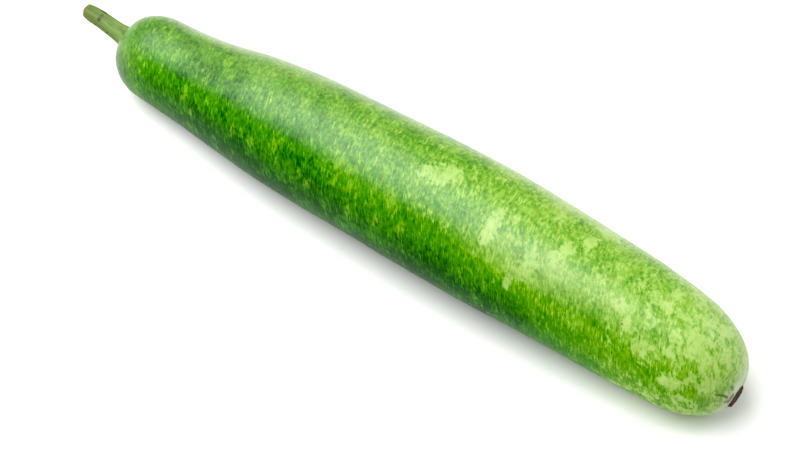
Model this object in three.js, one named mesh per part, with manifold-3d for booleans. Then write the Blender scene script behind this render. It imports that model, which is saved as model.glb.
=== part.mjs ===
// A long bottle gourd, picked young with a short cut stalk, lying on its side.
// Millimetres, +Z up. The fruit runs along +X from its stalk end to its blossom end, and the
// origin is on the surface it lies on, under the middle of the whole gourd.
//
// Three pieces: the fruit, the ribbed stalk rooted in its head, and the corky scar that the
// flower left at its far end.

import * as THREE from "three";
import { mergeVertices } from "three/addons/utils/BufferGeometryUtils.js";
import Module from "manifold-3d";

const wasm = await Module();
wasm.setup();

// ---- Driving dimensions ----------------------------------------------------------------------

// The fruit. Its radius and its sideways bow are given at even steps from stalk to blossom end.
const FRUIT_LENGTH = 400;
const RADII = [22.8, 26.1, 32.0, 35.0, 36.4, 36.6, 35.0, 32.0, 26.7];
const BOW = [0, -1.2, -1.8, -1.8, -1.3, -0.5, 0.2, 0.6, 0]; // towards +Y
const HEAD_LIFT = 2.0; // the narrow head stands this much clear of the surface
const LYING_FLAT = 1.0; // how far the fruit would sink in the surface if it were quite round

// Where it lies it is pressed almost flat: what would be below a height keeps a share of its
// depth. Out of that stands a long three-cornered flat under its weight, with one corner
// towards the stalk, and it rests on that.
const PRESSED = { below: 1.0, share: 0.25 };
const REST = { start: 94, length: 220, width: 18, y: -0.8, depth: 3 };

// How each end closes: over what length, and how full its outline is. 2 is an ellipse.
const HEAD_END = { length: 24, fullness: 2.6 };
const TAIL_END = { length: 36, fullness: 2.3 };

// Faint relief: lobes after the flower's five parts, and long shallow swellings.
const LOBES = { height: 0.25, count: 5, turns: 0.45 };
const SWELLINGS = { height: 0.25, count: 2, waves: 3.5, start: 1.3 };

// The stalk, from where it leaves the head to the cut.
const STALK_LENGTH = 30.5; // that it stands out beyond the head
const STALK_RADII = [6.9, 5.7, 5.2, 4.95, 4.75, 4.6, 4.5, 4.55, 4.4, 4.1];
const STALK_ROOT = { depth: 5, radius: 4.6 }; // sunk in the head
const STALK_RIBS = { height: 0.3, count: 5, turns: 0.25 };
const STALK_FOOT = { y: 1.0, z: 0.5 }; // off the middle of the head's end
const STALK_LEAN = { y: 1.6, z: 3.5 }; // of the cut end, off the foot
const STALK_SAG = 0.35; // of its middle
const CUT = { bevel: 0.7, slant: 0.28 };

// The scar: an uneven corky button, a little to one side of the fruit's very end.
const SCAR = { radius: 6.4, thickness: 3.0, proud: 0.7, pit: 0.5 };
const SCAR_PLACE = { y: -0.5, z: -6.0 }; // off the middle of the tail's end
const SCAR_OUTLINE = [
  { count: 3, height: 0.05, start: 0.6 },
  { count: 7, height: 0.03, start: 0 },
];

// The hollow that each of them sits in.
const STALK_HOLLOW = { depth: 2.2, radius: 10 };
const SCAR_HOLLOW = { depth: 0.9, radius: 9 };

const SEAT_GAP = 0.3; // between pieces that touch

// Fineness: rings along a piece and sides round it.
const FRUIT_MESH = { rings: 58, sides: 48 };
const STALK_MESH = { rings: 20, sides: 30 };
const SCAR_SIDES = 30;

// ---- Curves ----------------------------------------------------------------------------------

// The value at share t of a run of evenly spaced values, smoothed by a Catmull-Rom spline.
function smooth(values, t) {
  const last = values.length - 1;
  const place = THREE.MathUtils.clamp(t, 0, 1) * last;
  const i = Math.min(Math.floor(place), last - 1);
  const f = place - i;
  const [b, c] = [values[i], values[i + 1]];
  const a = i > 0 ? values[i - 1] : 2 * b - c;
  const d = i + 2 <= last ? values[i + 2] : 2 * c - b;
  return b + 0.5 * f * (c - a + f * (2 * a - 5 * b + 4 * c - d + f * (3 * (b - c) + d - a)));
}

// How much of its full radius an end of the fruit has at a distance from its very end.
function closing(distance, end) {
  const left = 1 - Math.min(distance / end.length, 1);
  return Math.pow(1 - left * left, 1 / end.fullness);
}

// The same outline the other way: how far back from the very end the skin is at a radius.
const setBack = (share, end) => end.length * (1 - Math.sqrt(1 - Math.pow(share, end.fullness)));

// Shares from 0 to 1 that crowd together towards both ends.
function crowded(count) {
  return Array.from({ length: count + 1 }, (_, i) => (1 - Math.cos((Math.PI * i) / count)) / 2);
}

// ---- Solids ----------------------------------------------------------------------------------

// The same shape with its faces joined at their shared corners.
function joined(geometry) {
  geometry.deleteAttribute("normal");
  geometry.deleteAttribute("uv");
  return mergeVertices(geometry);
}

// A closed shape from a lathed outline of [radius, height] pairs, each vertex of it then moved
// by place, which gets the vertex's height, radius and angle and writes its new point.
function turned(outline, sides, place) {
  const lathe = new THREE.LatheGeometry(
    outline.map(([radius, height]) => new THREE.Vector2(radius, height)),
    sides,
  );
  const closed = joined(lathe);
  const vertices = closed.getAttribute("position");
  const point = new THREE.Vector3();
  for (let i = 0; i < vertices.count; i++) {
    const { x, y, z } = point.fromBufferAttribute(vertices, i);
    place(y, Math.hypot(x, z), Math.atan2(z, x), point);
    vertices.setXYZ(i, point.x, point.y, point.z);
  }
  closed.computeVertexNormals();
  return closed;
}

function toSolid(geometry) {
  const vertProperties = geometry.getAttribute("position").array;
  const triVerts = new Uint32Array(geometry.index.array);
  return new wasm.Manifold(new wasm.Mesh({ numProp: 3, vertProperties, triVerts }));
}

function toGeometry(solid) {
  const { vertProperties, triVerts } = solid.getMesh();
  const geometry = new THREE.BufferGeometry();
  geometry.setAttribute("position", new THREE.BufferAttribute(vertProperties, 3));
  geometry.setIndex(new THREE.BufferAttribute(triVerts, 1));
  geometry.computeVertexNormals();
  return geometry;
}

// ---- Fruit -----------------------------------------------------------------------------------

function fruitRadius(t) {
  const fromHead = t * FRUIT_LENGTH;
  return smooth(RADII, t) * closing(fromHead, HEAD_END) * closing(FRUIT_LENGTH - fromHead, TAIL_END);
}

// The middle line's height: the underside runs along the surface.
const spineHeight = (t) => smooth(RADII, t) + HEAD_LIFT * (1 - t) ** 4 - LYING_FLAT;

const stalkFoot = new THREE.Vector3(0, STALK_FOOT.y, spineHeight(0) + STALK_FOOT.z);
const scarMiddle = new THREE.Vector3(FRUIT_LENGTH, SCAR_PLACE.y, spineHeight(1) + SCAR_PLACE.z);

// How deep a hollow is at a point beside its middle.
function hollowDepth(point, middle, hollow) {
  const beside = Math.hypot(point.y - middle.y, point.z - middle.z);
  return hollow.depth * Math.exp(-((beside / hollow.radius) ** 2));
}

// The skin at share t of the length, at an angle from +Y towards +Z.
function onSkin(t, angle, point) {
  const radius = fruitRadius(t);
  const lobe = LOBES.height * Math.cos(LOBES.count * angle + 2 * Math.PI * LOBES.turns * t);
  const swelling =
    SWELLINGS.height *
    Math.sin(2 * Math.PI * SWELLINGS.waves * t + SWELLINGS.start) *
    Math.cos(SWELLINGS.count * angle - SWELLINGS.start);
  const reach = radius + (lobe + swelling) * Math.min(radius / RADII[0], 1);
  point.set(
    t * FRUIT_LENGTH,
    smooth(BOW, t) + reach * Math.cos(angle),
    spineHeight(t) + reach * Math.sin(angle),
  );
  if (t < 0.5) {
    point.x += hollowDepth(point, stalkFoot, STALK_HOLLOW);
  } else {
    point.x -= hollowDepth(point, scarMiddle, SCAR_HOLLOW);
  }
  const below = PRESSED.below - point.z;
  if (below > 0) {
    point.z = PRESSED.below - PRESSED.share * below;
  }
}

function fruitGeometry() {
  const outline = crowded(FRUIT_MESH.rings).map((t) => [fruitRadius(t), t * FRUIT_LENGTH]);
  return turned(outline, FRUIT_MESH.sides, (height, radius, angle, point) =>
    onSkin(height / FRUIT_LENGTH, -angle, point),
  );
}

// The flat that it rests on, from the surface to well inside the fruit.
function restGeometry() {
  const end = REST.start + REST.length;
  const corners = [
    new THREE.Vector2(REST.start, REST.y),
    new THREE.Vector2(end, REST.y - REST.width / 2),
    new THREE.Vector2(end, REST.y + REST.width / 2),
  ];
  const outline = new THREE.Shape(corners);
  return joined(new THREE.ExtrudeGeometry(outline, { depth: REST.depth, bevelEnabled: false }));
}

// ---- Stalk -----------------------------------------------------------------------------------

// A larger stalk, by the clearance, cuts its seat in the fruit.
function stalkGeometry(clearance = 0) {
  const reach = STALK_HOLLOW.depth + STALK_LENGTH;
  const root = STALK_ROOT.radius + clearance;
  const steps = Array.from({ length: STALK_MESH.rings + 1 }, (_, i) => i / STALK_MESH.rings);
  const outline = [
    [0, -STALK_ROOT.depth - clearance],
    [root, -STALK_ROOT.depth - clearance],
    [root, -clearance],
    ...steps.map((t) => [smooth(STALK_RADII, t) + clearance, t * (reach - CUT.bevel)]),
    [STALK_RADII.at(-1) + clearance - CUT.bevel, reach],
    [0, reach],
  ];
  return turned(outline, STALK_MESH.sides, (height, radius, angle, point) => {
    const t = Math.max(height / reach, 0);
    const ribs = Math.cos(STALK_RIBS.count * angle + 2 * Math.PI * STALK_RIBS.turns * t);
    const growing = Math.min(STALK_MESH.sides * t, 1) * Math.min(radius / STALK_ROOT.radius, 1);
    const away = radius + STALK_RIBS.height * ribs * growing;
    const beside = away * Math.cos(angle);
    const slant = CUT.slant * beside * Math.max(4 * t - 3, 0);
    point.set(
      STALK_HOLLOW.depth - height - slant,
      stalkFoot.y + t * STALK_LEAN.y + beside,
      stalkFoot.z + t * STALK_LEAN.z - 4 * t * (1 - t) * STALK_SAG + away * Math.sin(angle),
    );
  });
}

// ---- Blossom scar ----------------------------------------------------------------------------

// Where the scar sits on the skin, and how it is turned to face the way the skin does there.
function scarFrame() {
  const aside = Math.hypot(SCAR_PLACE.y, SCAR_PLACE.z);
  const backAt = (radius) => setBack(radius / RADII.at(-1), TAIL_END);
  const steepness = backAt(aside + 0.5) - backAt(aside - 0.5);
  const facing = new THREE.Vector3(
    1,
    (steepness * SCAR_PLACE.y) / aside,
    (steepness * SCAR_PLACE.z) / aside,
  ).normalize();
  const seat = scarMiddle.clone();
  seat.x -= backAt(aside) + SCAR_HOLLOW.depth;
  const turn = new THREE.Quaternion().setFromUnitVectors(new THREE.Vector3(0, 1, 0), facing);
  return new THREE.Matrix4().compose(seat, turn, new THREE.Vector3(1, 1, 1));
}

// A larger scar, by the clearance, cuts its seat in the fruit.
function scarGeometry(clearance = 0) {
  const wide = SCAR.radius + clearance;
  const top = SCAR.proud + clearance;
  const bottom = SCAR.proud - SCAR.thickness - clearance;
  const outline = [
    [0, bottom],
    [0.75 * wide, bottom],
    [wide, -0.4],
    [0.97 * wide, 0.35 * top],
    [0.85 * wide, 0.85 * top],
    [0.6 * wide, top],
    [0.3 * wide, 0.8 * top],
    [0, top - SCAR.pit],
  ];
  return turned(outline, SCAR_SIDES, (height, radius, angle, point) => {
    const uneven = SCAR_OUTLINE.map((wave) => wave.height * Math.cos(wave.count * angle + wave.start));
    const away = radius * (1 + uneven[0] + uneven[1]);
    point.set(away * Math.cos(angle), height, away * Math.sin(angle));
  }).applyMatrix4(scarFrame());
}

// ---- Assembly --------------------------------------------------------------------------------

const skin = new THREE.MeshStandardMaterial({ color: 0x6fb52c, roughness: 0.42, metalness: 0 });
const green = new THREE.MeshStandardMaterial({ color: 0x86a652, roughness: 0.65, metalness: 0 });
const cork = new THREE.MeshStandardMaterial({ color: 0x4a3428, roughness: 0.9, metalness: 0 });

function piece(name, geometry, material) {
  const mesh = new THREE.Mesh(geometry, material);
  mesh.name = name;
  return mesh;
}

const fruit = toSolid(fruitGeometry())
  .add(toSolid(restGeometry()))
  .subtract(toSolid(stalkGeometry(SEAT_GAP)))
  .subtract(toSolid(scarGeometry(SEAT_GAP)));

const gourd = new THREE.Group();
gourd.add(
  piece("fruit", toGeometry(fruit), skin),
  piece("stalk", stalkGeometry(), green),
  piece("blossom_scar", scarGeometry(), cork),
);

// The origin goes on the surface, under the middle of the whole gourd.
const extent = new THREE.Box3().setFromObject(gourd);
const middle = extent.getCenter(new THREE.Vector3());
gourd.position.set(-middle.x, -middle.y, -extent.min.z);

export default gourd;
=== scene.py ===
import math

import bmesh
import bpy
import numpy as np
from bpy.props import FloatProperty, FloatVectorProperty, IntProperty, PointerProperty
from bpy.types import Operator, Panel, PropertyGroup
from mathutils import Matrix, Vector, noise


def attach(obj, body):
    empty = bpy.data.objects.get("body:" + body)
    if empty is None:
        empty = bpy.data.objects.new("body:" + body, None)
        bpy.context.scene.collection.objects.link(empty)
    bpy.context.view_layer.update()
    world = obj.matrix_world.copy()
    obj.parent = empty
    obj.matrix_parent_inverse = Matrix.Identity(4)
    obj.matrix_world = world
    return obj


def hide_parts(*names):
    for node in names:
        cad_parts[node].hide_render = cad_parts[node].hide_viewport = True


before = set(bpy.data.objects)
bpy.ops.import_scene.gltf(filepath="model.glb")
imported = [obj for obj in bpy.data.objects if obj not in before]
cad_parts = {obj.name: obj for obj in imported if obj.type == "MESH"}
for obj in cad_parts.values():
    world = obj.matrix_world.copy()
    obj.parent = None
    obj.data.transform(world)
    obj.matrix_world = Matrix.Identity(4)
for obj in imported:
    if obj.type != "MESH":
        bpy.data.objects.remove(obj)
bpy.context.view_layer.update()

bl_info = {
    "name": "Bottle gourd",
    "version": (1, 0, 0),
    "blender": (4, 5, 0),
    "location": "3D View > Sidebar > Gourd",
    "description": "Grows a young bottle gourd with its mottled skin, cut stalk and blossom scar",
    "category": "Object",
}

MM = 0.001
TURN = 2 * math.pi

# ---- Form of the fruit ----

HEAD_X = -184.420 * MM  # where the stalk end of the fruit would be without its hollow
SPINE_Y = 0.807 * MM
STALK_FOOT = (1.0 * MM, 0.5 * MM)  # off the middle of the head's end
SCAR_PLACE = (-0.5 * MM, -6.0 * MM)  # off the middle of the tail's end
STALK_HOLLOW = (2.2 * MM, 10 * MM)  # depth and radius
SCAR_HOLLOW = (0.9 * MM, 9 * MM)
HEAD_END = (24 * MM, 2.6)  # length and fullness
TAIL_END = (34 * MM, 2.75)
GROWS_BEFORE = 0.06  # share of the length before which the radius only grows
SHRINKS_AFTER = 0.9  # and after which it only shrinks
LOBES = 5
LOBE_TWIST = 0.45  # turns from end to end
SWELLINGS = 7  # half waves from end to end
SWELLING_START = 1.3
CORE_INSET = 30 * MM  # how far the core stops short of each end
DENSE_COUNT = 6001  # places along that lengths are measured by

# Radii of the rings next to the stalk's seat and the scar's, and how small the even rings before
# them get. From GATHERING to GATHERED, rings move to centre on the stalk or the scar.
HEAD_RINGS = [7.15 * MM, 7.5 * MM]
HEAD_CLEAR = 7.9 * MM
TAIL_RINGS = [7.5 * MM, 7.0 * MM, 6.7 * MM]
TAIL_CLEAR = 8.0 * MM
GATHERING = 20 * MM
GATHERED = 9 * MM

# Corners of the flat that it rests on, in mm, and width of the slope round it. Skin below
# PRESSED_BELOW keeps only PRESSED_SHARE of its drop, so it stands clear of what the fruit lies on.
REST_CORNERS = [(-90.42, 0.0), (129.58, -9.0), (129.58, 9.0)]
REST_SLOPE = 7 * MM
PRESSED_BELOW = 1.0 * MM
PRESSED_SHARE = 0.25

# ---- Relief and marks of the skin ----

DENT_SIZES = (24 * MM, 11 * MM)
DIMPLE_SIZE = 4.5 * MM
FOLDS = 5
FOLD_RING = (10 * MM, 4 * MM)  # distance from the stalk's middle, and width
PUCKERS = 13
PUCKER_RING = (9.0 * MM, 3.8 * MM)  # distance from the scar's middle, and width
LIP_RING = (7.6 * MM, 0.7 * MM)
LIP_HEIGHT = 0.1 * MM
SPECK_DEPTH = 0.12 * MM
DENTED_GIRTH = 35  # mm round the fruit for each radian, for sinking specks
MARKED_GIRTH = 34  # and for colouring marks

# Streaks that run out from the blossom scar: degrees, from and to in mm from its middle, width.
SCAR_STREAKS = [
    (131, 15, 24, 0.8), (110, 15.5, 20, 1.2), (141, 12.5, 17, 1.0), (121, 12, 15, 0.6),
    (196, 10, 17, 0.6), (287, 11, 18, 0.8), (28, 10, 15, 0.6),
]
# A corky crescent beside the scar, and how far the cork of the seat's rim reaches.
CRESCENT_FACES = 133
CRESCENT_RING = (11.4 * MM, 2.3 * MM)
CORKY_RIM = 6.9 * MM

# Pale patches on the side that is seen most: mm from the head's end, degrees from +Y towards
# +Z, and size in mm along and round.
PALE_PATCHES = [
    (218, 95, 9, 8), (210, 99, 4, 5), (225, 90, 5, 6), (257, 106, 5, 8), (257, 120, 4, 7),
    (265, 97, 2.5, 5), (284, 122, 7, 7), (282, 131, 7, 6), (277, 146, 3, 5), (293, 108, 5, 6),
    (296, 96, 4, 6), (303, 78, 4, 7), (306, 52, 9, 7), (334, 116, 4, 6), (336, 86, 4, 4),
    (352, 93, 7, 3.5), (353, 70, 3, 6), (367, 64, 5, 6), (375, 81, 5, 7), (372, 100, 8, 7),
    (377, 109, 7, 6), (352, 138, 7, 6), (365, 113, 5, 5), (366, 127, 4, 4), (372, 155, 7, 5),
    (388, 137, 4, 9), (380, 69, 5, 6), (340, 126, 3, 4), (318, 104, 4, 4), (345, 90, 4, 5),
]
# Bright flecks, faint and yellowish, in the same measures.
BRIGHT_FLECKS = [
    (76, 85, 3.5, 6), (38, 112, 1.4, 4), (70, 112, 2.2, 6), (26, 128, 1.8, 6), (20, 124, 1.4, 4),
    (62, 142, 2.0, 6), (70, 160, 1.6, 6), (100, 149, 1.5, 5), (114, 151, 2.0, 4),
    (129, 142, 1.8, 5), (169, 142, 2.0, 5), (166, 129, 4.0, 4), (178, 143, 2.2, 4),
    (175, 127, 3.5, 4), (154, 159, 2.5, 3), (198, 158, 2.0, 5), (181, 164, 1.8, 5),
    (173, 77, 2.5, 7), (157, 68, 4.0, 5), (161, 102, 5.0, 4), (194, 113, 2.6, 5),
    (45, 105, 1.8, 4), (203, 132, 3.5, 4), (213, 152, 2.5, 5), (250, 82, 3.0, 5),
]
# Small corky specks: mm from the head's end, degrees, radius in mm.
CORKY_SPECKS = [
    (111, 125, 0.7), (89, 81, 0.7), (175, 148, 0.9), (181, 144, 0.8), (339, 128, 1.0),
    (356, 148, 0.8), (367, 106, 0.6), (140, 60, 0.7), (233, 30, 0.9), (290, -20, 0.8),
    (205, 215, 0.9), (120, 250, 0.7), (320, 200, 0.9), (65, -60, 0.7), (262, 262, 0.8),
]

# The directions that the skin's greens, wax and haze are laid out by, in the same degrees. The
# darker low flank is painted shade over somewhat darker pigment, the lighter crown is painted
# light, and the haze is painted sheen over a thin pale bloom.
PATTERN_LEANS = 130  # where streaks lean most from straight round the fruit
LIT_CROWN_FACES = 66
DARK_SHADED_FLANK_FACES = 207
NET_LATE = 105  # on the side away from it the pale net spreads sooner
# The way where the tail has fewer pale patches, low on the flank: part of the painted shade there.
NET_THIN = 185
WAX_FACES = 68
WAX_TWIST = 0.4  # radians from end to end
# Ways that the haze faces: a thin pale bloom with painted sheen, a painted reflection of the bright
# surroundings along the upper side.
HAZE_AND_SHEEN_FACES = 20
THICK_HAZE_AND_SHEEN_FACES = 35
# A spot of painted highlight in the haze, by the lower edge of the wax's reflection band.
HIGHLIGHT_SPOT = (0.73, 0.09)  # share of the length, and width
HIGHLIGHT_SPOT_FACES = 124

# ---- Form of the stalk and the scar ----

STALK_SIDES = 120
STALK_ROWS = 110
CUT_BEVEL = 1.4 * MM
CUT_RINGS = [1, 0.98, 0.93, 0.86, 0.78, 0.7, 0.6, 0.5, 0.4, 0.3, 0.2, 0.1]  # shares of its radius
STALK_RIBS = 5
STALK_FIBRES = 31
FIBRE_BUNDLES = 10
RIB_TWIST = 0.25  # turns from the head to the cut
STALK_SEAT = [(4.95, 7.5), (4.95, 5.0), (4.95, 2.5), (5.9, 2.45), (7.0, 2.4)]  # radius, depth in mm

# Dark bruises of the stalk: share of its length, degrees, and size along and round.
BRUISES = [
    (0.635, 93, 0.032, 0.24), (0.63, 128, 0.045, 0.34), (0.64, 64, 0.07, 0.13),
    (0.78, 250, 0.04, 0.3), (0.3, 10, 0.03, 0.2), (0.42, 190, 0.03, 0.25),
]
BRUISE_DEPTH = 0.12 * MM

SCAR_SIDES = 160
SCAR_OUTLINE = [(3, 0.05, 0.6), (7, 0.03, 0.0)]  # waves, height, start
SEAT_GAP = 0.2 * MM
CRUMB_SIZE = 0.9 * MM
KNOB_SIZE = 2.2 * MM
NOTCHES = 23

# Cracks of the scar: degrees, width, and the share of the radius where they start.
SCAR_CRACKS = [
    (12, 0.06, 0.2), (55, 0.05, 0.35), (98, 0.07, 0.15), (140, 0.05, 0.4), (178, 0.06, 0.2),
    (221, 0.05, 0.3), (262, 0.07, 0.15), (301, 0.05, 0.45), (335, 0.05, 0.25),
]

# ---- Stage ----

FLOOR_REACH = 6.0
FLOOR_DIMMED = 0.985  # the darker parts of the floor, as a share of its brightness
LIGHTS_AIM = (0, 0, 0.035)
# Name, which is also its power's setting, then place, size, and the way that its side lies.
LIGHTS = [
    ("softbox", (-0.65, -0.38, 1.70), 2.0, (0.884, -0.468, 0)),
    ("fill", (0.9, 1.1, 0.9), 1.2, (1, 0, 0)),
]
CAMERA_TARGET = (19.76, -19.84, 33.8)  # mm
CAMERA_DISTANCE = 1.1704
CAMERA_AZIMUTH = 35.34
CAMERA_ELEVATION = 55
CAMERA_LENS = 100
CAMERA_NEAR = 0.01
BLACK_LEVEL = 0.03  # brightness that the view shows as black

# Sockets of the Mix node when it mixes colours. Other sockets have the same names.
MIX_SHARE, MIX_UNDER, MIX_OVER, MIX_RESULT = 0, 6, 7, 2


# ---- Settings ----


def number(name, description, default, **kind):
    return FloatProperty(name=name, description=description, default=default, min=0, **kind)


def length(name, description, millimetres):
    return number(name, description, millimetres * MM, unit="LENGTH")


def share(name, description, default):
    return number(name, description, default, max=1, subtype="FACTOR")


def power(name, description, watts):
    return number(name, description, watts, unit="POWER")


def lengths(name, description, millimetres):
    default = [value * MM for value in millimetres]
    return FloatVectorProperty(
        name=name, description=description, default=default, size=len(default), unit="LENGTH"
    )


def colour(name, description, *default):
    return FloatVectorProperty(
        name=name, description=description, default=default, size=3, min=0, max=1, subtype="COLOR"
    )


class FruitSettings(PropertyGroup):
    reach: length("Length", "From the stalk end to the blossom end", 400)
    radii: lengths(
        "Radii",
        "Radius at even steps from the stalk end to the blossom end",
        [22.8, 26.1, 32.0, 35.0, 36.4, 36.6, 35.0, 32.0, 26.7],
    )
    bow: lengths(
        "Bow",
        "Sideways place of the middle line at the same steps",
        [0, -1.2, -1.8, -1.8, -1.3, -0.5, 0.2, 0.6, 0],
    )
    head_lift: length("Head lift", "How far the head stands clear of the surface", 2.0)
    sink: length("Sink", "How far a quite round fruit would sink in the surface", 1.0)
    lobe_height: length("Lobe height", "Height of the five faint lobes", 0.25)
    swelling_height: length("Swelling height", "Height of the long shallow swellings", 0.25)
    dent_depth: length("Dent depth", "Depth of the broad shallow dents", 0.45)
    dimple_depth: length("Dimple depth", "Depth of the small dimples", 0.1)
    fold_depth: length("Fold depth", "Depth of the folds round the stalk", 0.5)
    pucker_depth: length("Pucker depth", "Depth of the puckers round the blossom scar", 0.4)
    ring_spacing: length("Ring spacing", "Distance between rings of the mesh", 1.2)
    sides: IntProperty(name="Sides", description="Sides of the mesh", default=200, min=24)


class SkinSettings(PropertyGroup):
    # Deep green is also where the painted shade of the low flank takes the skin.
    deep: colour("Deep green", "The darkest green, low on the flanks", 0.002, 0.052, 0.0)
    mid: colour("Mid green", "The green of most of the skin", 0.034, 0.196, 0.0)
    fleck: colour("Fleck green", "The fine lighter flecks", 0.185, 0.385, 0.02)
    pale: colour("Pale green", "The ragged pale patches", 0.37, 0.54, 0.145)
    # Haze: a thin pale bloom, mostly painted sheen where the skin would reflect bright light.
    haze: colour("Haze", "The thin bloom on the upper side", 0.35, 0.46, 0.16)
    grey: colour("Grey green", "The skin round the blossom scar", 0.38, 0.45, 0.25)
    scuff: colour("Scuff", "Olive streaks round the blossom scar", 0.06, 0.1, 0.01)
    corky: colour("Corky brown", "Specks, and the skin beside the scar", 0.13, 0.064, 0.016)
    roughness: share("Roughness", "Roughness of the bare skin", 0.45)
    gloss: share("Gloss", "Strength of the bare skin's reflections", 0.16)
    wax_roughness: share("Wax roughness", "Roughness of the wax on the upper side", 0.37)


class StalkSettings(PropertyGroup):
    reach: length("Length", "How far the stalk stands out beyond the head", 30.1)
    radii: lengths(
        "Radii",
        "Radius at even steps from the head to the cut",
        [7.4, 6.4, 5.7, 5.4, 5.2, 5.1, 5.0, 4.9, 4.7, 4.1],
    )
    root_depth: length("Root depth", "How far it is sunk in the head", 5)
    root_radius: length("Root radius", "Radius of the sunken root", 4.6)
    rib_height: length("Rib height", "Height of the five ribs", 0.3)
    sideways: length("Sideways lean", "How far the cut end stands aside of the foot", 1.6)
    upwards: length("Upward lean", "How far the cut end stands above the foot", 3.5)
    sag: length("Sag", "How far the middle hangs below a straight line", 0.35)
    droop: length("Droop", "How far the cut end turns aside from the rest", 1.0)
    slant: FloatProperty(
        name="Slant", description="Slant of the cut, as its rise across its width", default=-0.05
    )
    green: colour("Stalk green", "The olive green of the stalk", 0.132, 0.235, 0.036)
    olive: colour("Olive", "The duller green towards the cut", 0.112, 0.165, 0.03)
    dark: colour("Groove green", "The darker green between the ribs", 0.075, 0.14, 0.018)
    bruise: colour("Bruise", "The dark bruises", 0.04, 0.042, 0.011)
    cut: colour("Cut", "The dried face of the cut", 0.25, 0.19, 0.085)
    rim: colour("Rim", "The brown rim of the cut", 0.23, 0.09, 0.025)


class ScarSettings(PropertyGroup):
    radius: length("Radius", "Radius of the corky button", 6.4)
    thickness: length("Thickness", "From its underside to its top", 3.0)
    proud: length("Proud", "How far its top stands above its seat", 0.95)
    raised: length("Raised", "How much higher its lower side stands", 0.7)
    pit: length("Pit", "Depth of the pit in its middle", 0.5)
    cork: colour("Cork", "The dark dried cork", 0.03, 0.019, 0.013)
    ridge: colour("Ridge", "The paler worn ridges", 0.12, 0.08, 0.06)


class StageSettings(PropertyGroup):
    floor: colour("Floor", "The pale floor", 0.93, 0.93, 0.93)
    air: number("Air", "Brightness all round", 0.36)
    softbox: power("Softbox", "Power of the softbox", 64)
    fill: power("Fill", "Power of the fill light", 10)


class GourdSettings(PropertyGroup):
    fruit: PointerProperty(type=FruitSettings)
    skin: PointerProperty(type=SkinSettings)
    stalk: PointerProperty(type=StalkSettings)
    scar: PointerProperty(type=ScarSettings)
    stage: PointerProperty(type=StageSettings)


# ---- Curves ----


def smooth(values, place):
    """The value at a share of a run of evenly spaced values, by a Catmull-Rom spline."""
    values = np.asarray(values, float)
    last = len(values) - 1
    at = np.clip(place, 0, 1) * last
    before = np.minimum(at.astype(int), last - 1)
    f = at - before
    carried_on = ([2 * values[0] - values[1]], values, [2 * values[-1] - values[-2]])
    a, b, c, d = (np.concatenate(carried_on)[before + k] for k in range(4))
    return b + f / 2 * (c - a + f * (2 * a - 5 * b + 4 * c - d + f * (3 * (b - c) + d - a)))


def closing(distance, end):
    """How much of its full radius an end has at a distance from its very end."""
    reach, fullness = end
    left = 1 - np.clip(distance / reach, 0, 1)
    return (1 - left * left) ** (1 / fullness)


def step(start, end, value):
    """0 at the start and before it, 1 at the end and past it, smooth between."""
    x = np.clip((value - start) / (end - start), 0, 1)
    return x * x * (3 - 2 * x)


def hill(value, middle, width):
    return np.exp(-(((value - middle) / width) ** 2))


def ripple(phase):
    """1 at whole turns, 0 half way between them."""
    return 0.5 + 0.5 * np.cos(phase)


def facing(angle, degrees):
    """1 where an angle has a direction, -1 where it has the opposite one."""
    return np.cos(angle - math.radians(degrees))


def turned(angle, degrees):
    """How far an angle is turned from a direction, up to half a turn either way."""
    return np.angle(np.exp(1j * (angle - math.radians(degrees))))


def polar(y, z, middle):
    """Distance and angle from a middle, looking along the fruit."""
    y, z = y - middle[0], z - middle[1]
    return np.hypot(y, z), np.arctan2(z, y)


def uneven(angle):
    """The scar's outline, as a share of its radius, at an angle in its own plane."""
    return 1 + sum(height * np.cos(waves * angle + start) for waves, height, start in SCAR_OUTLINE)


def grain(points, size, seed):
    """Smooth noise at each point, from about -1 to 1."""
    flat = points.reshape(-1, 3) / size + np.array([seed * 7.31, seed * 3.17, seed * 5.53])
    values = [noise.noise(Vector(point)) for point in flat]
    return np.array(values).reshape(points.shape[:-1])


def all_round(sides):
    return np.linspace(0, TURN, sides, endpoint=False)


# ---- The fruit's form ----


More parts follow.
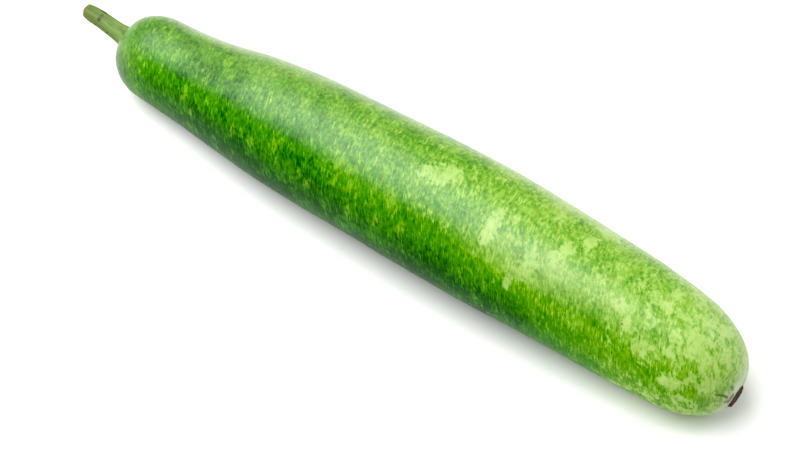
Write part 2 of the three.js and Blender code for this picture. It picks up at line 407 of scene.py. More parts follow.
class FruitForm:
    """The skin of the fruit as a function of share along and angle round."""

    def __init__(self, fruit):
        self.fruit = fruit
        self.dense = (1 - np.cos(np.linspace(0, np.pi, DENSE_COUNT))) / 2
        self.dense_radius = self.radius(self.dense)
        steps = np.hypot(np.diff(self.dense * fruit.reach), np.diff(self.dense_radius))
        self.dense_arc = np.concatenate([[0], np.cumsum(steps)])
        self.foot = (STALK_FOOT[0], self.spine(np.array(0.0)) + STALK_FOOT[1])
        self.scar = (SCAR_PLACE[0], self.spine(np.array(1.0)) + SCAR_PLACE[1])

    def radius(self, along):
        reach = self.fruit.reach
        ends = closing(along * reach, HEAD_END) * closing((1 - along) * reach, TAIL_END)
        return smooth(self.fruit.radii, along) * ends

    def spine(self, along):
        """Height of the middle line."""
        lift = self.fruit.head_lift * (1 - along) ** 4
        return smooth(self.fruit.radii, along) + lift - self.fruit.sink

    def core(self, along):
        """Points of the middle line that the skin faces away from, also at the ends."""
        start = HEAD_X + CORE_INSET
        end = HEAD_X + self.fruit.reach - CORE_INSET
        x = np.clip(along * self.fruit.reach + HEAD_X, start, end)
        return np.stack([x, smooth(self.fruit.bow, along) + SPINE_Y, self.spine(along)], -1)

    def share_at(self, radius, head):
        """The share along at which an end has a radius."""
        near = self.dense < GROWS_BEFORE if head else self.dense > SHRINKS_AFTER
        shares, radii = self.dense[near], self.dense_radius[near]
        if not head:
            shares, radii = shares[::-1], radii[::-1]
        return np.interp(radius, radii, shares)

    def point(self, along, angle):
        """Points of the skin before the underside is pressed."""
        fruit = self.fruit
        radius = self.radius(along)
        lobe = fruit.lobe_height * np.cos(LOBES * angle + TURN * LOBE_TWIST * along)
        swelling = fruit.swelling_height * np.sin(SWELLINGS * np.pi * along + SWELLING_START)
        relief = lobe + swelling * np.cos(2 * angle - SWELLING_START)
        reach = radius + relief * np.minimum(radius / fruit.radii[0], 1)
        y = smooth(fruit.bow, along) + reach * np.cos(angle)
        z = self.spine(along) + reach * np.sin(angle)
        from_foot, from_scar = polar(y, z, self.foot)[0], polar(y, z, self.scar)[0]
        in_head = STALK_HOLLOW[0] * hill(from_foot, 0, STALK_HOLLOW[1])
        in_tail = SCAR_HOLLOW[0] * hill(from_scar, 0, SCAR_HOLLOW[1])
        x = along * fruit.reach + np.where(along < 0.5, in_head, -in_tail)
        return np.stack([x + HEAD_X, y + SPINE_Y, z], -1)

    def scar_frame(self):
        """The scar's own frame: its Y is the way that the skin faces there."""
        aside = math.hypot(*SCAR_PLACE)
        reach, fullness = TAIL_END

        def set_back(radius):
            part = (radius / self.fruit.radii[-1]) ** fullness
            return reach * (1 - math.sqrt(1 - part))

        steepness = (set_back(aside + 0.5 * MM) - set_back(aside - 0.5 * MM)) / MM
        lean = [steepness * offset / aside for offset in SCAR_PLACE]
        outward_way = Vector((1, *lean)).normalized()
        seat_x = HEAD_X + self.fruit.reach - set_back(aside) - SCAR_HOLLOW[0]
        seat = Vector((seat_x, SPINE_Y + self.scar[0], self.scar[1]))
        turn = Vector((0, 1, 0)).rotation_difference(outward_way)
        return Matrix.LocRotScale(seat, turn, None)

    def rings(self):
        """Shares along and angles of even rings, centred on the stalk and scar at the ends."""
        count = int(self.dense_arc[-1] / self.fruit.ring_spacing)
        marks = np.linspace(0, self.dense_arc[-1], count + 1)[1:-1]
        along = np.interp(marks, self.dense_arc, self.dense)
        radii = self.radius(along)
        halves = []
        for head, kept, before, after in [
            (True, (along <= 0.5) & (radii > HEAD_CLEAR), HEAD_RINGS, []),
            (False, (along > 0.5) & (radii > TAIL_CLEAR), [], TAIL_RINGS),
        ]:
            shares = np.pad(along[kept], (len(before), len(after)))
            halves.append(self.gathered(head, shares, np.concatenate([before, radii[kept], after])))
        return [np.concatenate(pair) for pair in zip(*halves)]

    def gathered(self, head, shares, radii):
        """Shares along and angles of rings that centre on the stalk or scar as they get smaller.

        Only rings wider than GATHERING keep the share that they come with.
        """
        shares, radii = shares[:, None], radii[:, None]
        angle = all_round(self.fruit.sides)
        middle = STALK_FOOT if head else SCAR_PLACE
        pulled = step(GATHERING, GATHERED, radii)
        outline = 1 if head else 1 + pulled * (uneven(np.pi - angle) - 1)
        y = pulled * middle[0] + radii * outline * np.cos(angle)
        z = pulled * middle[1] + radii * outline * np.sin(angle)
        near = radii < GATHERING
        shares = np.where(near, self.share_at(np.hypot(y, z), head), shares)
        return shares, np.where(near, np.arctan2(z, y), angle)


def pressed(points):
    """Presses the underside on the surface, where it stands on its long flat."""
    x, y, z = points[..., 0], points[..., 1], points[..., 2]
    below = PRESSED_BELOW - z
    squeezed = PRESSED_BELOW - PRESSED_SHARE * below
    outside = np.full(x.shape, -1.0)
    corners = np.array(REST_CORNERS) * MM
    for start, end in zip(corners, np.roll(corners, -1, axis=0)):
        edge = (end - start) / np.linalg.norm(end - start)
        outside = np.maximum(outside, (x - start[0]) * edge[1] - (y - start[1]) * edge[0])
    flat = 1 - step(0, REST_SLOPE, outside)
    low = np.where(below > 0, squeezed * (1 - flat), z)
    points[..., 2] = np.maximum(low, 0)
    return points


def outward(points, core):
    """Unit normals of a grid of rings, on the side away from its core."""
    across = np.roll(points, -1, axis=1) - np.roll(points, 1, axis=1)
    normals = np.cross(across, np.gradient(points, axis=0))
    normals /= np.maximum(np.linalg.norm(normals, axis=-1, keepdims=True), 1e-12)
    side = np.sum(normals * (points - core), -1, keepdims=True)
    return normals * np.where(side < 0, -1, 1)


# ---- Objects and meshes ----


def added(name, data):
    """Puts a new object in the scene."""
    thing = bpy.data.objects.new(name, data)
    bpy.context.scene.collection.objects.link(thing)
    return thing


def around(x, radius, angle):
    """Points at a radius round the X axis."""
    return np.stack(np.broadcast_arrays(x, radius * np.cos(angle), radius * np.sin(angle)), -1)


def upright(height, radius, angle):
    """Points at a radius round the Y axis, as the scar's own frame has them."""
    return around(height, radius, angle)[..., [1, 0, 2]]


def placed(points, place):
    """Points of a frame of their own, put where that frame stands."""
    moved = [place @ Vector(point) for point in points.reshape(-1, 3)]
    return np.array(moved).reshape(points.shape)


def closed_mesh(name, rings, first, last):
    """A closed mesh through rings of points, with a middle point at each end."""
    count, sides = rings.shape[:2]
    vertices = np.concatenate([rings.reshape(-1, 3), [first, last]])
    here = np.arange(count * sides).reshape(count, sides)
    after = np.roll(here, -1, axis=1)
    faces = np.stack([here[:-1], after[:-1], after[1:], here[1:]], -1).reshape(-1, 4).tolist()
    start, end = np.full((2, sides), [[count * sides], [count * sides + 1]])
    faces += np.stack([start, after[0], here[0]], -1).tolist()
    faces += np.stack([end, here[-1], after[-1]], -1).tolist()
    mesh = bpy.data.meshes.new(name)
    mesh.from_pydata(vertices.tolist(), [], faces)
    shaped = bmesh.new()
    shaped.from_mesh(mesh)
    bmesh.ops.recalc_face_normals(shaped, faces=shaped.faces)
    if not all(edge.is_manifold for edge in shaped.edges):
        raise RuntimeError(f"{name} isn't closed")
    shaped.to_mesh(mesh)
    shaped.free()
    mesh.shade_smooth()
    return added(name, mesh)


def store(piece, name, values, first=None, last=None):
    """Keeps a value or a point for each vertex, for the material to read.

    A middle point that isn't given its own takes that of the ring next to it.
    """
    values = np.asarray(values, float)
    first = values[0, 0] if first is None else first
    last = values[-1, 0] if last is None else last
    kind, key = ("FLOAT_VECTOR", "vector") if values.ndim == 3 else ("FLOAT", "value")
    flat = values.reshape(-1, *values.shape[2:])
    attribute = piece.data.attributes.new(name, kind, "POINT")
    attribute.data.foreach_set(key, np.concatenate([flat, [first, last]]).ravel())


def finish_piece(piece, finish, node):
    piece.data.materials.append(finish.material)
    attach(piece, "root")
    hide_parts(node)


# ---- Materials ----


class Value:
    """A socket of a material's nodes that can be used in sums like a number."""

    def __init__(self, finish, socket):
        self.finish = finish
        self.socket = socket

    def maths(self, operation, *values):
        settings = {"operation": operation}
        return self.finish.node("ShaderNodeMath", settings, dict(enumerate(values)))

    def __add__(self, other):
        return self.maths("ADD", self, other)

    def __sub__(self, other):
        return self.maths("SUBTRACT", self, other)

    def __rsub__(self, other):
        return self.maths("SUBTRACT", other, self)

    def __mul__(self, other):
        return self.maths("MULTIPLY", self, other)

    __radd__ = __add__
    __rmul__ = __mul__


class Finish:
    """One material, built from nodes."""

    def __init__(self, name, roughness, **constants):
        self.material = bpy.data.materials.new(name)
        self.material.use_nodes = True
        self.tree = self.material.node_tree
        self.shader = self.tree.nodes["Principled BSDF"]
        self.set(Roughness=roughness, **constants)

    def node(self, kind, settings, inputs, output=0):
        """Adds a node, sets it, fills its sockets, and gives the value of an output."""
        node = self.tree.nodes.new(kind)
        for key, value in settings.items():
            setattr(node, key, value)
        for key, value in inputs.items():
            self.fill(node.inputs[key], value)
        return Value(self, node.outputs[output])

    def fill(self, socket, value):
        if isinstance(value, Value):
            self.tree.links.new(value.socket, socket)
        elif socket.type == "RGBA" and len(value) == 3:
            socket.default_value = (*value, 1)
        else:
            socket.default_value = value

    def set(self, **inputs):
        """Fills sockets of the shader, named with _ for each space."""
        for key, value in inputs.items():
            self.fill(self.shader.inputs[key.replace("_", " ")], value)

    def stored(self, name, output="Fac"):
        return self.node("ShaderNodeAttribute", {"attribute_name": name}, {}, output)

    def stored_values(self, names):
        return map(self.stored, names.split())

    def vector(self, operation, a, b):
        return self.node("ShaderNodeVectorMath", {"operation": operation}, {0: a, 1: b}, "Vector")

    def speckle(self, place, size, seed, detail=2.0, roughness=0.5, distortion=0.0):
        """Noise from -0.5 to 0.5, of a size in mm along each axis."""
        scaled = self.vector("MULTIPLY", place, tuple(1 / (side * MM) for side in size))
        moved = self.vector("ADD", scaled, (seed * 7.3, seed * 3.1, seed * 5.7))
        inputs = {"Vector": moved, "Scale": 1.0, "Detail": detail}
        inputs |= {"Roughness": roughness, "Distortion": distortion}
        return self.node("ShaderNodeTexNoise", {}, inputs, "Fac") - 0.5

    def between(self, value, low, high, most=1.0):
        """0 where the value is under low, most where it is over high, smooth between."""
        settings = {"interpolation_type": "SMOOTHSTEP"}
        inputs = {"Value": value, "From Min": low, "From Max": high, "To Max": most}
        return self.node("ShaderNodeMapRange", settings, inputs)

    def blend(self, mask, under, over):
        """One colour over another, where the mask is."""
        inputs = {MIX_SHARE: mask, MIX_UNDER: under, MIX_OVER: over}
        return self.node("ShaderNodeMix", {"data_type": "RGBA"}, inputs, MIX_RESULT)

    def layered(self, base, *layers):
        """A colour with layers over it, each coming in as a value goes from low to high."""
        for over, *where in layers:
            base = self.blend(self.between(*where), base, over)
        return base

    def bump(self, height, distance, strength):
        inputs = {"Height": height, "Distance": distance, "Strength": strength}
        self.set(Normal=self.node("ShaderNodeBump", {}, inputs, "Normal"))


def skin_finish(skin):
    finish = Finish(
        "waxy_mottled_skin",
        skin.roughness,
        Specular_IOR_Level=skin.gloss,
        Coat_Roughness=skin.wax_roughness,
        Coat_IOR=1.5,
    )
    ripe, low_flank, crown, wax, haze = finish.stored_values("ripe low_flank crown wax haze")
    patch, spread, bright = finish.stored_values("patch spread bright")
    corky, round_scar, puckers, scuffs = finish.stored_values("corky round_scar puckers scuffs")
    place = finish.stored("skin_place", "Vector")
    clouds = finish.speckle(place, (30, 24, 24), 1)
    blotches = finish.speckle(place, (7, 10, 10), 2, detail=3, roughness=0.6)
    net = finish.speckle(place, (5.5, 6.5, 6.5), 7, detail=3, roughness=0.6)
    flames = finish.speckle(place, (2.0, 7, 7), 6, detail=3, roughness=0.55)
    streaks = finish.speckle(place, (0.8, 3.6, 3.6), 3, detail=3, roughness=0.6, distortion=0.3)
    mottle = finish.speckle(place, (2.0, 2.4, 2.4), 5, detail=4, roughness=0.65)

    # Lightness of the green: painted shade on the low flank over somewhat darker pigment, and
    # painted light on the crown, where the mottling is also stronger.
    light = ripe * (1 - low_flank) + crown * 0.12 + clouds * 0.6 + blotches * 0.75 + streaks
    light += mottle * (crown * 0.5 + 1.05)
    light += finish.between(flames + streaks * 0.6, 0.05, 0.2, 0.28)
    lit = bright * 0.7 + mottle * 1.1 + streaks * 1.1 + blotches * 0.4
    ragged = patch + blotches * 0.5 + mottle * 0.8 + streaks * 0.4
    netted = net * 2.2 + spread + mottle * 0.5 + streaks * 0.3
    pale = finish.layered(skin.fleck, (skin.pale, mottle * 1.2 + blotches, -0.5, 0.25))
    green = finish.layered(
        skin.deep,
        (skin.mid, light, -0.1, 0.5),
        (skin.fleck, light, 0.38, 1.05),
        (skin.pale, light + net * 0.9, 0.8, 1.4, 0.7),
        (skin.fleck, lit, 0.25, 0.85, 0.55),
        (pale, ragged, 0.32, 0.66, spread * 0.25 + 0.87),
        (pale, netted, -0.02, 0.16, 0.75),
    )
    # Painted sheen: a pale haze laid over the green, partly a thin bloom.
    green = finish.blend(haze * (clouds * 0.5 + mottle * 0.3 + 0.18), green, skin.haze)
    green = finish.layered(
        green,
        (skin.grey, round_scar + mottle * 0.6 + blotches * 0.5, 0.1, 0.8, 0.75),
        (skin.mid, puckers + mottle * 0.6, 0.1, 0.6, 0.5),
        (skin.scuff, scuffs + mottle * 0.9, 0.2, 0.7, 0.9),
        (skin.corky, corky + mottle * 1.1 + streaks * 0.4, 0.2, 0.8),
    )

    finish.set(
        Base_Color=green,
        Roughness=mottle * 0.12 + blotches * 0.12 + skin.roughness,
        Coat_Weight=wax + blotches * 0.3,
    )
    finish.bump(streaks * 0.5 + mottle * 0.6, 0.1 * MM, 0.35)
    return finish


def stalk_finish(stalk):
    finish = Finish("ribbed_green_stalk", 0.6)
    groove, aged, cut_face, rim, spots = finish.stored_values("groove aged cut_face rim dark_spots")
    place = finish.stored("stalk_place", "Vector")
    fibres = finish.speckle(place, (14, 0.8, 0.8), 11, detail=3, roughness=0.6)
    blotches = finish.speckle(place, (5, 3, 3), 12, detail=3)
    fine = finish.speckle(place, (0.9, 0.5, 0.5), 13)
    green = finish.layered(
        stalk.green,
        (stalk.olive, aged + blotches, 0.1, 0.8),
        (stalk.dark, groove * 0.55 + fibres * 1.1 + blotches * 0.9, 0.0, 0.75),
        (stalk.bruise, spots + fine * 0.7, 0.4, 0.75, 0.85),
        (stalk.cut, cut_face + fine * 0.5, 0.4, 0.6),
        (stalk.rim, rim + blotches * 0.9, 0.35, 0.75, 0.85),
    )
    finish.set(Base_Color=green, Roughness=fibres * 0.25 + 0.58)
    finish.bump(fibres * 0.7 + fine * 0.4, 0.2 * MM, 0.6)
    return finish


def cork_finish(scar):
    finish = Finish("dark_corky_scar", 0.85)
    place = finish.stored("scar_place", "Vector")
    height = finish.stored("raised")
    crumbs = finish.speckle(place, (0.7, 0.7, 0.7), 21, detail=4, roughness=0.65)
    patches = finish.speckle(place, (2.4, 2.4, 2.4), 22, detail=3)
    brown = finish.layered(scar.cork, (scar.ridge, height + crumbs + patches * 0.6, 0.45, 1.05))
    finish.set(Base_Color=brown, Roughness=crumbs * 0.2 + 0.85)
    finish.bump(crumbs * 0.8 + patches * 0.3, 0.35 * MM, 0.8)
    return finish


def floor_finish(stage):
    finish = Finish("pale_matte_floor", 0.9, Specular_IOR_Level=0.2)
    place = finish.node("ShaderNodeTexCoord", {}, {}, "Object")
    tone = finish.speckle(place, (60, 60, 60), 31, detail=3)
    dimmer = tuple(part * FLOOR_DIMMED for part in stage.floor)
    finish.set(Base_Color=finish.layered(stage.floor, (dimmer, tone, -0.2, 0.2)))
    finish.bump(finish.speckle(place, (1.5, 1.5, 1.5), 32), 0.05 * MM, 0.3)
    return finish


# ---- Pieces ----


def spotted(along, angle, spots, reach):
    """The strongest of the listed spots at each place: 1 in a spot's middle, 0 well outside."""
    strongest = np.zeros(along.shape)
    for from_head, degrees, size_along, size_round in spots:
        off_along = (along * reach / MM - from_head) / size_along
        off_round = turned(angle, degrees) * MARKED_GIRTH / size_round
        strongest = np.maximum(strongest, step(1.75, 0.25, np.hypot(off_along, off_round)))
    return strongest


class GOURD_OT_fruit(Operator):
    """Grows the fruit, with its dents, folds, puckers and mottled skin"""

    bl_idname = "gourd.fruit"
    bl_label = "Fruit"

    def execute(self, context):
        settings = context.scene.gourd
        form = FruitForm(settings.fruit)
        along, angle = form.rings()
        points = form.point(along, angle)
        outwards = outward(points, form.core(along))
        points = pressed(points + outwards * self.relief(form, points, along, angle)[..., None])
        stalk_seat, stalk_pit = self.stalk_seat(form)
        scar_seat, scar_pit = self.scar_seat(form, settings.scar)
        rings = np.concatenate([stalk_seat, points, scar_seat])
        piece = closed_mesh("gourd_fruit", rings, stalk_pit, scar_pit)

        # A seat's rings count as lying at the skin's ring next to them.
        seats = ((len(stalk_seat), len(scar_seat)), (0, 0))
        along, angle = (np.pad(grid, seats, mode="edge") for grid in (along, angle))
        marks = {
            "skin_place": self.laid_flat(form, along, angle),
            **self.greens(along, angle),
            **self.bloom(along, angle),
            **self.pale_marks(form, along, angle),
            **self.brown_marks(form, rings, along, angle),
        }
        for name, values in marks.items():
            store(piece, name, values)
        finish_piece(piece, skin_finish(settings.skin), "fruit")
        return {"FINISHED"}

    def relief(self, form, points, along, angle):
        """How far each point is moved out, mostly a little inwards."""
        fruit = form.fruit
        broad, narrow = DENT_SIZES
        dents = 0.3 - 0.5 * grain(points, broad, 1) - 0.2 * grain(points, narrow, 2)
        dimples = 0.5 - 0.5 * grain(points, DIMPLE_SIZE, 3)
        moved = -fruit.dent_depth * dents - fruit.dimple_depth * dimples

        y, z = points[..., 1] - SPINE_Y, points[..., 2]
        from_foot, turn = polar(y, z, form.foot)
        folds = hill(from_foot, *FOLD_RING) * (along < 0.5)
        moved -= fruit.fold_depth * folds * (1 - ripple(FOLDS * turn + 0.8))
        from_scar, turn = polar(y, z, form.scar)
        at_tail = along > 0.5
        moved -= fruit.pucker_depth * self.puckers(from_scar, turn) * at_tail
        moved += LIP_HEIGHT * hill(from_scar / uneven(np.pi - turn), *LIP_RING) * at_tail
        for from_head, degrees, radius in CORKY_SPECKS:
            off_along = along * fruit.reach / MM - from_head
            off = np.hypot(off_along, turned(angle, degrees) * DENTED_GIRTH)
            moved -= SPECK_DEPTH * hill(off, 0, radius * 1.2)
        return moved

    def puckers(self, from_scar, turn):
        """Uneven creases that run out from the scar."""
        wander = 0.25 * np.sin(3 * turn + 1.1) + 0.3 * np.sin(from_scar / (3.1 * MM))
        creases = ripple(PUCKERS * turn + 2.2 * wander)
        uneven_depth = 0.55 + 0.45 * np.sin(2 * turn + 0.4) * np.cos(5 * turn + 2.0)
        return creases**4 * uneven_depth * hill(from_scar, *PUCKER_RING)

    def scuffs(self, from_scar, turn):
        """Olive-brown streaks that run out from the scar."""
        strongest = 0
        out = from_scar / MM
        for degrees, start, end, width in SCAR_STREAKS:
            off = turned(turn, degrees) * out + 0.5 * np.sin(out / 2.1 + degrees)
            strength = step(start - 1, start + 0.5, out) * step(end, end - 2.5, out)
            strongest = np.maximum(strongest, hill(off, 0, width) * strength)
        return strongest

    def stalk_seat(self, form):
        """The rings that line the stalk's seat, and the middle of its bottom."""
        angle = all_round(form.fruit.sides)
        foot = np.array([HEAD_X, SPINE_Y + form.foot[0], form.foot[1]])
        rings = [foot + around(depth, radius, angle) * MM for radius, depth in STALK_SEAT]
        return np.array(rings), foot + np.array([STALK_SEAT[0][1] * MM, 0, 0])

    def scar_seat(self, form, scar):
        """The rings that line the scar's seat, and the middle of its bottom."""
        place = form.scar_frame()
        angle = np.pi - all_round(form.fruit.sides)
        bottom = scar.proud - scar.thickness - SEAT_GAP
        rings = []
        for part, gap, height in [
            (1.0, 0.22 * MM, -0.1 * MM),
            (1.0, SEAT_GAP, -0.5 * MM),
            (0.88, SEAT_GAP, -1.5 * MM),
            (0.75, SEAT_GAP, bottom),
            (0.4, 0.0, bottom),
        ]:
            away = (scar.radius * part + gap) * uneven(angle)
            rings.append(placed(upright(height, away, angle), place))
        return np.array(rings), place @ Vector((0, bottom, 0))

    def laid_flat(self, form, along, angle):
        """Places on the skin for its pattern, which leans a little from straight round it."""
        radius = form.radius(along)
        arc = np.interp(along, form.dense, form.dense_arc)
        arc -= 0.3 * radius * np.sin(angle - math.radians(PATTERN_LEANS))
        return around(arc, radius, angle)

    def greens(self, along, angle):
        """How light the green is: riper towards the tail, darker on the low flank with painted
        shade over somewhat darker pigment, and lighter on the crown with painted light.
        """
        ripe = 0.22 + 0.5 * step(0.1, 0.8, along) + 0.08 * step(0.78, 0.92, along)
        # Painted shade low on the flank, over somewhat darker pigment, with little of it near the
        # head.
        low_flank = step(0.22, 1.0, facing(angle, DARK_SHADED_FLANK_FACES))
        low_flank *= 1 - 0.85 * step(0.62, 0.9, along)
        low_flank *= 0.2 + 0.8 * step(0.07, 0.19, along)
        # Painted light: the crown is lighter, as if lit from above.
        crown = step(0.1, 0.9, facing(angle, LIT_CROWN_FACES))
        return {"ripe": ripe, "low_flank": low_flank, "crown": crown}

    def bloom(self, along, angle):
        """Where the skin is waxy, and where a thin pale haze lies on it: a bloom with painted
        sheen, on the upper side, at the ends, and in a painted highlight spot.
        """
        wax = 0.03 + 0.75 * step(0.45, 0.85, facing(angle - WAX_TWIST * along, WAX_FACES))
        ends = np.maximum(step(0.11, 0.0, along) ** 1.5, step(0.95, 0.995, along))
        wax = np.maximum(wax, np.where(along < 0.5, 0.6, 0.35) * ends)
        fading = 1 - 0.45 * step(0.35, 0.6, along) - 0.35 * step(0.78, 0.92, along)
        haze = step(-0.35, 0.35, facing(angle, HAZE_AND_SHEEN_FACES)) * fading
        haze = np.maximum(haze * 0.85, ends)
        haze += 1.3 * step(0.75, 1.0, facing(angle, THICK_HAZE_AND_SHEEN_FACES))
        haze += 1.5 * step(0.94, 1.0, facing(angle, HIGHLIGHT_SPOT_FACES)) * hill(along, *HIGHLIGHT_SPOT)
        return {"wax": wax, "haze": haze}

    def pale_marks(self, form, along, angle):
        """The pale patches and bright flecks, and how far the pale net has spread."""
        reach = form.fruit.reach
        hidden = step(0.6, -0.1, facing(angle, NET_LATE))
        spread = 0.62 * step(0.72, 0.93, along) + 0.2 * hidden * step(0.3, 0.7, along) - 0.62
        spread += 0.06 * step(0.88, 0.98, along)
        # Fewer pale patches low on the tail's flank, as part of the painted shade there.
        spread -= 0.12 * step(0.75, 0.98, facing(angle, NET_THIN)) * step(0.6, 0.8, along)
        return {
            "patch": spotted(along, angle, PALE_PATCHES, reach) * 0.7,
            "spread": spread,
            "bright": spotted(along, angle, BRIGHT_FLECKS, reach),
        }

    def brown_marks(self, form, rings, along, angle):
        """The corky specks, and what lies round the blossom scar."""
        specks = [(from_head, degrees, size, size) for from_head, degrees, size in CORKY_SPECKS]
        corky = spotted(along, angle, specks, form.fruit.reach) * 0.75
        from_scar, turn = polar(rings[..., 1] - SPINE_Y, rings[..., 2], form.scar)
        rim = from_scar / uneven(np.pi - turn)
        at_tail = along > 0.5
        crescent = hill(rim, *CRESCENT_RING) * step(0.94, 0.99, facing(turn, CRESCENT_FACES))
        corky = np.maximum(corky, crescent * at_tail * 1.1)
        return {
            "corky": np.where((rim < CORKY_RIM) & at_tail, 1.0, corky),
            "round_scar": step(25 * MM, 8 * MM, rim) * at_tail,
            "puckers": self.puckers(from_scar, turn) * at_tail * 1.1,
            "scuffs": self.scuffs(from_scar, turn) * at_tail,
        }


class GOURD_OT_stalk(Operator):
    """Grows the ribbed stalk, with its slanted cut"""

    bl_idname = "gourd.stalk"
    bl_label = "Stalk"

    def execute(self, context):
        settings = context.scene.gourd
        stalk = settings.stalk
        form = FruitForm(settings.fruit)
        reach = STALK_HOLLOW[0] + stalk.reach
        radius, height, on_face = self.profile(stalk, reach)
        angle = all_round(STALK_SIDES)
        along = np.maximum(height / reach, 0)

        ribs = np.cos(STALK_RIBS * angle + TURN * RIB_TWIST * along)
        sharp = np.abs(np.sin((STALK_RIBS * angle + TURN * RIB_TWIST * along) / 2)) ** 0.7
        fibres = ripple(STALK_FIBRES * angle + 5 * np.sin(4 * along + 3 * np.cos(angle)))
        growing = np.minimum(30 * along, 1) * np.minimum(radius / stalk.root_radius, 1)
        worn = (0.14 * sharp + 0.05 * fibres) * MM * growing * (along > 0)
        bruises = self.bruises(along, angle)
        away = radius + stalk.rib_height * ribs * growing - worn
        away -= BRUISE_DEPTH * bruises * (along > 0.05)

        beside = away * np.cos(angle)
        slant = stalk.slant * beside * np.maximum(4 * along - 3, 0)
        sunk = self.face_relief(radius / stalk.radii[-1], angle) * on_face
        x = HEAD_X + STALK_HOLLOW[0] - height - slant + sunk
        droop = stalk.droop * step(0.6, 1.0, along)
        y = SPINE_Y + form.foot[0] + along * stalk.sideways - droop + beside
        lean = along * stalk.upwards - 4 * along * (1 - along) * stalk.sag
        z = form.foot[1] + lean + away * np.sin(angle)
        rings = np.stack(np.broadcast_arrays(x, y, z), -1)
        root, pith = (rings[end].mean(axis=0) for end in (0, -1))
        piece = closed_mesh("gourd_stalk", rings, root, pith)

        store(piece, "stalk_place", around(height, radius, angle), last=(reach, 0, 0))
        outer = np.where(on_face, step(0.5, 0.9, radius / stalk.radii[-1]), 1)
        marks = {
            "groove": 0.5 - 0.5 * ribs,
            "aged": along,
            "cut_face": on_face,
            "rim": step(0.915, 0.985, along) * outer,
            "dark_spots": bruises * ~on_face,
        }
        for name, values in marks.items():
            store(piece, name, np.broadcast_to(values, rings.shape[:2]))
        finish_piece(piece, stalk_finish(stalk), "stalk")
        return {"FINISHED"}

    def profile(self, stalk, reach):
        """Radius and height of each ring, from the root's underside to the middle of the cut."""
        root, end, top = stalk.root_radius, stalk.radii[-1], reach - CUT_BEVEL
        rings = [(0.5 * root, -stalk.root_depth)]
        rings += [(root, -stalk.root_depth + height * MM) for height in (0, 0.3, 2.5)]
        rings += [(root, -0.1 * MM), (root, 0), (0.5 * (root + stalk.radii[0]), 0)]
        shares = np.linspace(0, 1, STALK_ROWS)
        rings += list(zip(smooth(stalk.radii, shares), shares * top))
        rings += [(end - 0.2 * CUT_BEVEL, top + 0.55 * CUT_BEVEL)]
        rings += [(end - 0.55 * CUT_BEVEL, top + 0.9 * CUT_BEVEL)]
        on_face = np.arange(len(rings) + len(CUT_RINGS))[:, None] >= len(rings)
        rings += [((end - CUT_BEVEL) * part, reach) for part in CUT_RINGS]
        radius, height = np.array(rings).T[..., None]
        return radius, height, on_face

    def bruises(self, along, angle):
        """The strongest of the dark bruises at each place, from 0 to 1."""
        strongest = 0
        for at, degrees, size_along, size_round in BRUISES:
            off = np.hypot((along - at) / size_along, turned(angle, degrees) / size_round)
            strongest = np.maximum(strongest, step(1.5, 0.3, off))
        return strongest

    def face_relief(self, part, angle):
        """The cut's face: a sunken pith inside a ring of fibre bundles."""
        pith = 0.35 * MM * step(0.5, 0.15, part)
        bundles = 0.18 * MM * hill(part, 0.62, 0.1) * ripple(FIBRE_BUNDLES * angle)
        return 0.12 * MM + pith - 0.5 * bundles


class GOURD_OT_blossom_scar(Operator):
    """Makes the cracked corky scar that the flower left"""

    bl_idname = "gourd.blossom_scar"
    bl_label = "Blossom scar"

    def execute(self, context):
        settings = context.scene.gourd
        scar = settings.scar
        place = FruitForm(settings.fruit).scar_frame()
        bottom, middle = scar.proud - scar.thickness, scar.proud - scar.pit
        part, height = self.profile(scar.proud, bottom, middle)
        angle = all_round(SCAR_SIDES)
        on_top = step(0.0, 0.4 * scar.proud, height)
        away = scar.radius * part * uneven(angle)
        away -= 0.1 * MM * on_top * ripple(NOTCHES * angle)

        flat = upright(0, away, angle)
        crumbs = 0.5 - 0.5 * grain(flat, CRUMB_SIZE, 8)
        knobs = 0.5 - 0.5 * grain(flat, KNOB_SIZE, 9)
        cracks = self.cracks(part, angle)
        ridges = ripple(part * 26)
        sunk = (0.16 * crumbs + 0.18 * knobs + 0.42 * cracks + 0.07 * ridges) * MM * on_top
        raised = scar.raised * (0.5 - 0.5 * part * np.sin(angle)) * on_top
        points = upright(height + raised - sunk, away, angle)
        underside = place @ Vector((0, bottom, 0))
        pit = place @ Vector((0, middle + 0.5 * scar.raised - 0.25 * MM, 0))
        piece = closed_mesh("gourd_blossom_scar", placed(points, place), underside, pit)

        store(piece, "scar_place", points, last=(0, middle, 0))
        edge = hill(part, 0.9, 0.07) * 0.35
        store(piece, "raised", 0.45 - 0.9 * cracks + 0.3 * knobs + edge, 0, 0)
        finish_piece(piece, cork_finish(scar), "blossom_scar")
        return {"FINISHED"}

    def profile(self, top, bottom, middle):
        """Share of the radius and height of each ring, from the underside to the pit."""
        rings = [(0.4, bottom), (0.72, bottom), (0.77, bottom + 0.15 * MM), (0.9, -1.25 * MM)]
        rings += [(0.985, -0.55 * MM), (1.0, -0.35 * MM), (0.995, 0.0), (0.97, 0.3 * top)]
        rings += [(0.93, 0.55 * top), (0.88, 0.74 * top)]
        crown = np.linspace(0.83, 0.04, 24)
        heights = [middle, 0.78 * top, 0.96 * top, 0.82 * top]
        rings += list(zip(crown, np.interp(crown, [0, 0.3, 0.6, 0.85], heights)))
        return np.array(rings).T[..., None]

    def cracks(self, part, angle):
        """Uneven cracks that run out from the pit."""
        deepest = 0
        for degrees, width, start in SCAR_CRACKS:
            bend = 0.22 * np.sin(5 * part + degrees)
            crack = hill(turned(angle - bend, degrees), 0, width / np.maximum(part, 0.25))
            deepest = np.maximum(deepest, crack * step(start, start + 0.15, part))
        return deepest


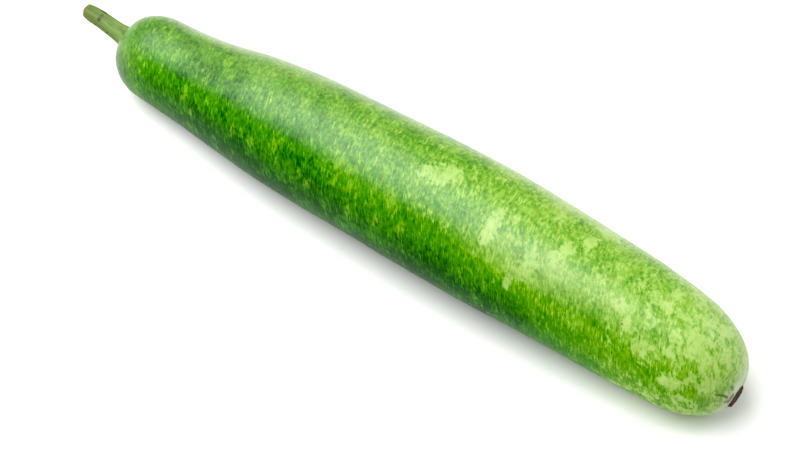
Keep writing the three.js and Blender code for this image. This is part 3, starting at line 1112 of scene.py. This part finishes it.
class GOURD_OT_stage(Operator):
    """Sets the pale floor, the soft studio light and the camera"""

    bl_idname = "gourd.stage"
    bl_label = "Stage"

    def execute(self, context):
        stage = context.scene.gourd.stage
        self.floor(stage)
        self.light(context, stage)
        self.camera(context)
        return {"FINISHED"}

    def floor(self, stage):
        mesh = bpy.data.meshes.new("floor")
        corners = [(-1, -1, 0), (1, -1, 0), (1, 1, 0), (-1, 1, 0)]
        mesh.from_pydata([Vector(corner) * FLOOR_REACH for corner in corners], [], [(0, 1, 2, 3)])
        mesh.materials.append(floor_finish(stage).material)
        added("floor", mesh)

    def light(self, context, stage):
        world = bpy.data.worlds.new("studio_air")
        context.scene.world = world
        world.use_nodes = True
        background = world.node_tree.nodes["Background"]
        background.inputs["Color"].default_value = (1, 1, 1, 1)
        background.inputs["Strength"].default_value = stage.air
        for name, place, size, along in LIGHTS:
            lamp = bpy.data.lights.new(name, "AREA")
            lamp.size = size
            lamp.energy = getattr(stage, name)
            back = (Vector(place) - Vector(LIGHTS_AIM)).normalized()
            side = Vector(along)
            side = (side - back * side.dot(back)).normalized()
            turn = Matrix((side, back.cross(side), back)).transposed()
            light = added(name, lamp)
            light.matrix_world = Matrix.Translation(place) @ turn.to_4x4()

    def camera(self, context):
        azimuth, elevation = math.radians(CAMERA_AZIMUTH), math.radians(CAMERA_ELEVATION)
        level, up = math.cos(elevation), math.sin(elevation)
        back = Vector((math.sin(azimuth) * level, -math.cos(azimuth) * level, up))
        lens = bpy.data.cameras.new("camera")
        lens.lens = CAMERA_LENS
        lens.clip_start = CAMERA_NEAR
        camera = added("camera", lens)
        camera.location = Vector(CAMERA_TARGET) * MM + back * CAMERA_DISTANCE
        camera.rotation_euler = back.to_track_quat("Z", "Y").to_euler()
        context.scene.camera = camera
        view = context.scene.view_settings
        view.view_transform = "Standard"
        view.use_curve_mapping = True
        view.curve_mapping.black_level = [BLACK_LEVEL] * 3
        view.curve_mapping.update()


class GOURD_PT_panel(Panel):
    """The gourd's pieces and their settings"""

    bl_label = "Bottle gourd"
    bl_idname = "GOURD_PT_panel"
    bl_space_type = "VIEW_3D"
    bl_region_type = "UI"
    bl_category = "Gourd"

    def draw(self, context):
        settings = context.scene.gourd
        for operator, groups in PIECES:
            box = self.layout.box()
            box.operator(operator)
            for group in groups:
                values = getattr(settings, group)
                for key in values.bl_rna.properties.keys():
                    if key not in ("rna_type", "name"):
                        box.prop(values, key)


PIECES = [
    ("gourd.fruit", ["fruit", "skin"]),
    ("gourd.stalk", ["stalk"]),
    ("gourd.blossom_scar", ["scar"]),
    ("gourd.stage", ["stage"]),
]
CLASSES = [
    FruitSettings, SkinSettings, StalkSettings, ScarSettings, StageSettings, GourdSettings,
    GOURD_OT_fruit, GOURD_OT_stalk, GOURD_OT_blossom_scar, GOURD_OT_stage, GOURD_PT_panel,
]


def register():
    for cls in CLASSES:
        bpy.utils.register_class(cls)
    bpy.types.Scene.gourd = PointerProperty(type=GourdSettings)


def unregister():
    del bpy.types.Scene.gourd
    for cls in reversed(CLASSES):
        bpy.utils.unregister_class(cls)


def main():
    register()
    bpy.ops.gourd.fruit()
    bpy.ops.gourd.stalk()
    bpy.ops.gourd.blossom_scar()
    bpy.ops.gourd.stage()


if __name__ == "__main__":
    main()
